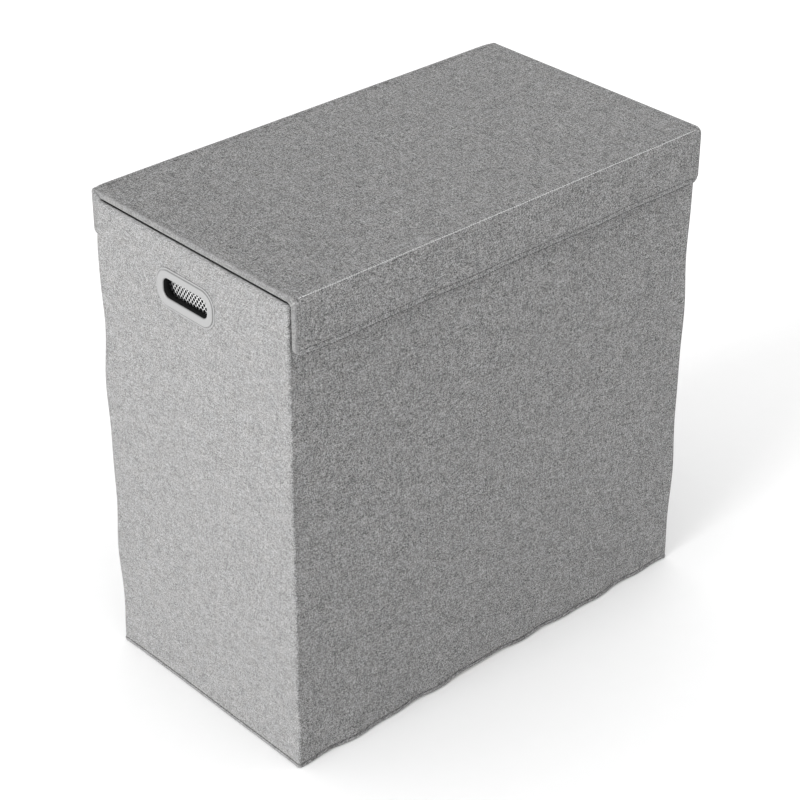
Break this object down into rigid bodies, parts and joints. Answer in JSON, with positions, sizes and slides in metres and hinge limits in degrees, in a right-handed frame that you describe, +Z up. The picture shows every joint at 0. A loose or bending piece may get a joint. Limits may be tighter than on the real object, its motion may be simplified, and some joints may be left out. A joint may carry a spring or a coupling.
{
  "type": "laundry hamper",
  "caption": "Tall rectangular two-compartment laundry hamper in heathered linen-look cloth over boards, with a hinged flap lid, end hand holes and net liners.",
  "frame": {"origin": "on the floor at the centre of the footprint", "axes": "+X along the long side towards the right end, -Y out of the front wall, +Z up"},
  "size_m": [0.616, 0.342, 0.605],
  "materials": {
    "linen": "heathered grey linen-look weave, matt",
    "lining": "plain grey non-woven lining, matt",
    "fibreboard": "compressed fibreboard stiffener",
    "foam": "thin soft padding",
    "net": "open polyester mesh",
    "webbing": "woven polyester webbing",
    "ring_plastic": "moulded light grey plastic, satin",
    "hook_and_loop": "hook-and-loop tape",
    "steel": "plain steel disc"
  },
  "bodies": {
    "body": {"front_cover": "linen", "front_lining": "lining", "front_board_left": "fibreboard", "front_board_right": "fibreboard", "back_cover": "linen", "back_lining": "lining", "back_board_left": "fibreboard", "back_board_right": "fibreboard", "left_catch_plate": "steel", "left_cover": "linen", "left_board": "fibreboard", "left_lining": "lining", "left_handle_ring": "ring_plastic", "left_handle_backing": "ring_plastic", "right_catch_plate": "steel", "right_cover": "linen", "right_board": "fibreboard", "right_lining": "lining", "right_handle_ring": "ring_plastic", "right_handle_backing": "ring_plastic", "front_hem": "linen", "back_hem": "linen", "left_hem": "linen", "right_hem": "linen", "bottom_cloth": "lining", "base_board": "fibreboard", "back_flap_cover": "linen", "back_flap_board": "fibreboard", "back_flap_lining": "lining", "loop_tape": "hook_and_loop", "hook_tape": "hook_and_loop", "left_liner_net": "net", "left_liner_cuff": "linen", "left_liner_front_handle": "webbing", "left_liner_front_tab_inner": "webbing", "left_liner_front_tab_outer": "webbing", "left_liner_back_handle": "webbing", "left_liner_back_tab_inner": "webbing", "left_liner_back_tab_outer": "webbing", "right_liner_net": "net", "right_liner_cuff": "linen", "right_liner_front_handle": "webbing", "right_liner_front_tab_inner": "webbing", "right_liner_front_tab_outer": "webbing", "right_liner_back_handle": "webbing", "right_liner_back_tab_inner": "webbing", "right_liner_back_tab_outer": "webbing"},
    "lid": {"lid_cover": "linen", "lid_padding": "foam", "lid_board": "fibreboard", "lid_lining": "lining"},
    "front_flap": {"front_flap_cover": "linen", "front_flap_board": "fibreboard", "front_flap_lining": "lining", "left_flap_magnet": "steel", "right_flap_magnet": "steel"}
  },
  "joints": [
    {"name": "lid_hinge", "type": "hinge", "parent": "body", "child": "lid", "pos_m": [0, 0.171, 0.605], "axis": [-1, 0, 0], "range_deg": [0, 250]},
    {"name": "front_flap_hinge", "type": "hinge", "parent": "lid", "child": "front_flap", "pos_m": [0, -0.171, 0.605], "axis": [-1, 0, 0], "range_deg": [0, 90]}
  ]
}
